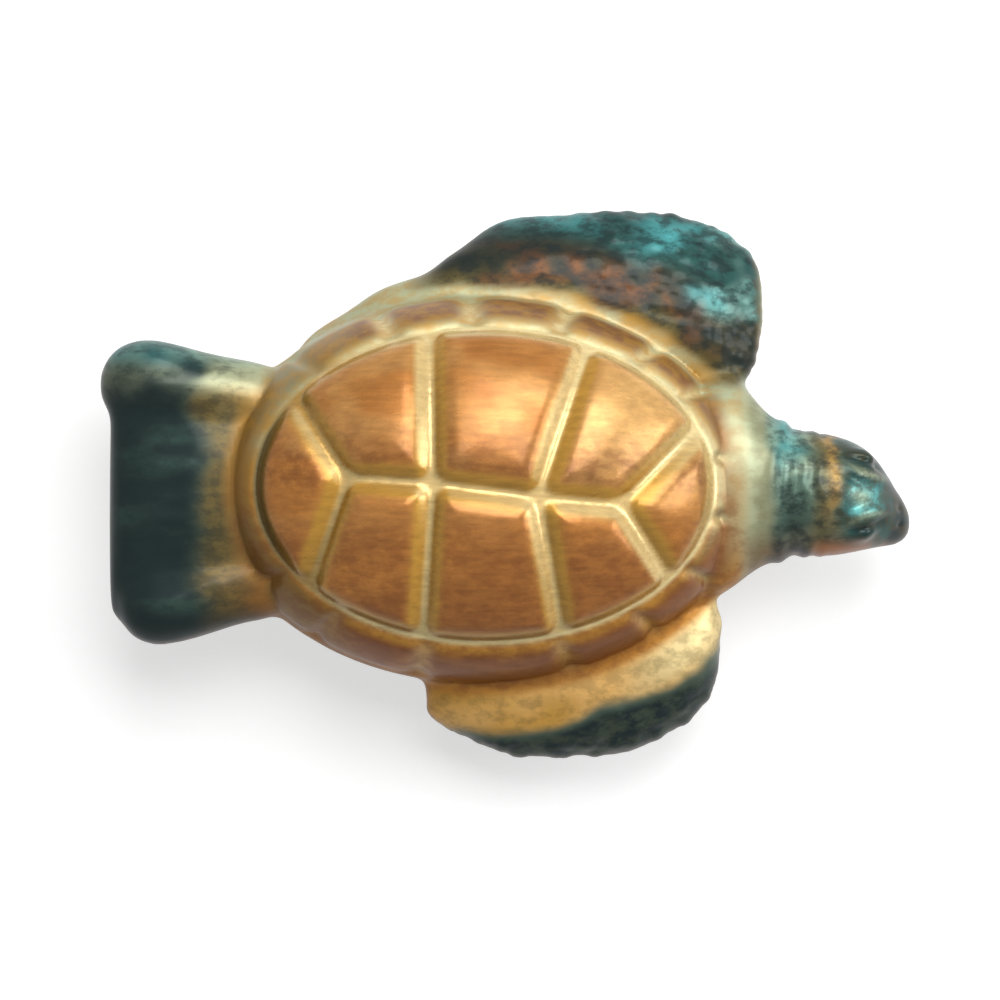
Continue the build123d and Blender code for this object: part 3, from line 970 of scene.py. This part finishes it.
class TURTLE_OT_glass(bpy.types.Operator):
    """Blow the glass: one smooth skin with pillow scutes, plates, pebbles and a face"""

    bl_idname = "turtle.glass"
    bl_label = "Blown Glass"

    def execute(self, context):
        glass = context.scene.turtle_glass
        piece = copy_of("glass_body", "glass_skin")
        outer_wall(piece)
        modify(piece, "REMESH", mode="VOXEL", voxel_size=glass.grain, use_smooth_shade=True)
        drill(piece)
        masks, hold = self.press(piece, glass)
        self.emboss(piece, glass, hold)
        self.paint(piece.data, masks, hold, context.scene.turtle_lacquer)
        bpy.ops.object.shade_smooth()
        piece.data.materials.append(lacquer())
        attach(piece, "glass")
        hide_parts("glass_body")
        return {"FINISHED"}

    def press(self, piece, glass):
        """Softens the limbs' joins, presses the shell's back to shape and blends its border."""
        mesh = piece.data
        places = points(mesh)
        target = carapace(places, glass)[0]
        miss = np.linalg.norm(places - target, axis=1)
        hold = (1.0 - smooth(1.0, 2.4, miss)) * smooth(*BACK_FADE, places[:, 2])
        neck = (1.0 - smooth(4.0, 6.0, neck_reach(places))) * smooth(-28.0, -31.0, places[:, 0])
        soft = (1.0 - hold) * smooth(*FLOOR_FADE, places[:, 2]) * (1.0 - neck)
        soften(piece, "soft", soft, JOIN_ROUNDS)
        places = points(mesh)
        target, masks = carapace(places, glass)
        places = places + (target - places) * hold[:, None]
        put_points(mesh, places)
        free = smooth(*FLOOR_FADE, places[:, 2]) * (1.0 - neck)
        brim = 0.9 * bell(places[:, 2] - 20.3, 1.6)
        soften(piece, "border", free * np.maximum(4.0 * hold * (1.0 - hold), brim), BORDER_ROUNDS)
        soften(piece, "all", free, LAST_ROUNDS)
        return masks, hold

    def emboss(self, piece, glass, hold):
        """Raises the relief of head, flippers and tail along the normals."""
        mesh = piece.data
        places = points(mesh)
        facing = normals(mesh)
        height = head_relief(places, glass) * smooth(*HEAD_FADE, places[:, 0])
        height = (height + limb_relief(places, facing, glass)) * (1.0 - hold)
        put_points(mesh, places + facing * height[:, None])
        modify(piece, "SMOOTH", factor=0.4, iterations=1, vertex_group="soft")
        piece.vertex_groups.clear()

    def paint(self, mesh, masks, hold, tones):
        """Brushes the lacquer on: shell, limbs and head, then the painted shade on the sides away from
        the light and the belly.
        """
        p = points(mesh)
        facing = normals(mesh)
        coat = Coat(len(p), tones.gold)
        paint_shell(coat, p, facing, masks, hold, tones)
        paint_flippers(coat, p, hold, tones)
        paint_tail(coat, p, hold, tones)
        paint_head(coat, p, hold, tones)
        paint_shade_and_belly(coat, p, facing, tones)
        coat.lay(mesh)


class TURTLE_OT_cap(bpy.types.Operator):
    """Gild the stamped cap over the glass neck"""

    bl_idname = "turtle.cap"
    bl_label = "Stamped Cap"

    def execute(self, context):
        finish_node("ornament_cap", stamped_brass("gilt_cap", "D9B566", "8E6A2E"))
        return {"FINISHED"}


class TURTLE_OT_wire(bpy.types.Operator):
    """Finish the sprung wire hanger"""

    bl_idname = "turtle.wire"
    bl_label = "Wire Hanger"

    def execute(self, context):
        finish_node("hanger_wire", stamped_brass("gilt_wire", "D2B473", "93764A"))
        return {"FINISHED"}


class TURTLE_OT_stage(bpy.types.Operator):
    """Lay the white floor and place soft lamps and the camera"""

    bl_idname = "turtle.stage"
    bl_label = "Stage"

    def execute(self, context):
        stage = context.scene.turtle_stage
        bpy.ops.object.select_all(action="DESELECT")
        bpy.ops.mesh.primitive_plane_add(size=FLOOR_SIZE, location=(0.0, 0.0, 0.0))
        floor = context.view_layer.objects.active
        floor.name = "floor"
        floor.data.materials.append(white_sheet())
        self.lamp("key", KEY_PLACE, KEY_SIZE, stage.key_power)
        self.lamp("fill", FILL_PLACE, FILL_SIZE, stage.fill_power)
        context.scene.world = white_room()
        context.scene.camera = self.camera(stage)
        context.scene.view_settings.view_transform = "Standard"
        return {"FINISHED"}

    def lamp(self, name, place, size, power):
        """Square soft lamp aimed at the turtle."""
        aim = (Vector(LAMP_AIM) - Vector(place)).to_track_quat("-Z", "Y").to_euler()
        bpy.ops.object.light_add(type="AREA", location=place, rotation=aim)
        lamp = bpy.context.view_layer.objects.active
        lamp.name = name
        lamp.data.size = size
        lamp.data.energy = power

    def camera(self, stage):
        """Camera almost straight above the turtle's middle."""
        away = Vector((0.0, -math.cos(stage.elevation), math.sin(stage.elevation)))
        bpy.ops.object.camera_add(location=Vector(CAMERA_AIM) + away * stage.distance)
        camera = bpy.context.view_layer.objects.active
        camera.rotation_euler = (-away).to_track_quat("-Z", "Y").to_euler()
        camera.data.sensor_width = SENSOR_WIDTH
        camera.data.lens = SENSOR_WIDTH * stage.distance / stage.frame_width
        camera.data.clip_start = 0.01
        return camera


class TURTLE_PT_panel(bpy.types.Panel):
    """Sidebar panel that lists the turtle's steps."""

    bl_idname = "TURTLE_PT_panel"
    bl_label = "Blown Glass Turtle"
    bl_space_type = "VIEW_3D"
    bl_region_type = "UI"
    bl_category = "Turtle"

    def draw(self, context):
        scene = context.scene
        for step in STEPS:
            self.layout.operator(step.bl_idname)
        for settings in (scene.turtle_glass, scene.turtle_lacquer, scene.turtle_stage):
            box = self.layout.box()
            for key in settings.bl_rna.properties.keys():
                if key not in {"rna_type", "name"}:
                    box.prop(settings, key)


STEPS = (TURTLE_OT_glass, TURTLE_OT_cap, TURTLE_OT_wire, TURTLE_OT_stage)
CLASSES = (GlassSettings, LacquerSettings, StageSettings) + STEPS + (TURTLE_PT_panel,)


def register():
    for cls in CLASSES:
        bpy.utils.register_class(cls)
    bpy.types.Scene.turtle_glass = bpy.props.PointerProperty(type=GlassSettings)
    bpy.types.Scene.turtle_lacquer = bpy.props.PointerProperty(type=LacquerSettings)
    bpy.types.Scene.turtle_stage = bpy.props.PointerProperty(type=StageSettings)


def unregister():
    del bpy.types.Scene.turtle_glass
    del bpy.types.Scene.turtle_lacquer
    del bpy.types.Scene.turtle_stage
    for cls in reversed(CLASSES):
        bpy.utils.unregister_class(cls)


def main():
    register()
    bpy.ops.turtle.glass()
    bpy.ops.turtle.cap()
    bpy.ops.turtle.wire()
    bpy.ops.turtle.stage()


if __name__ == "__main__":
    main()
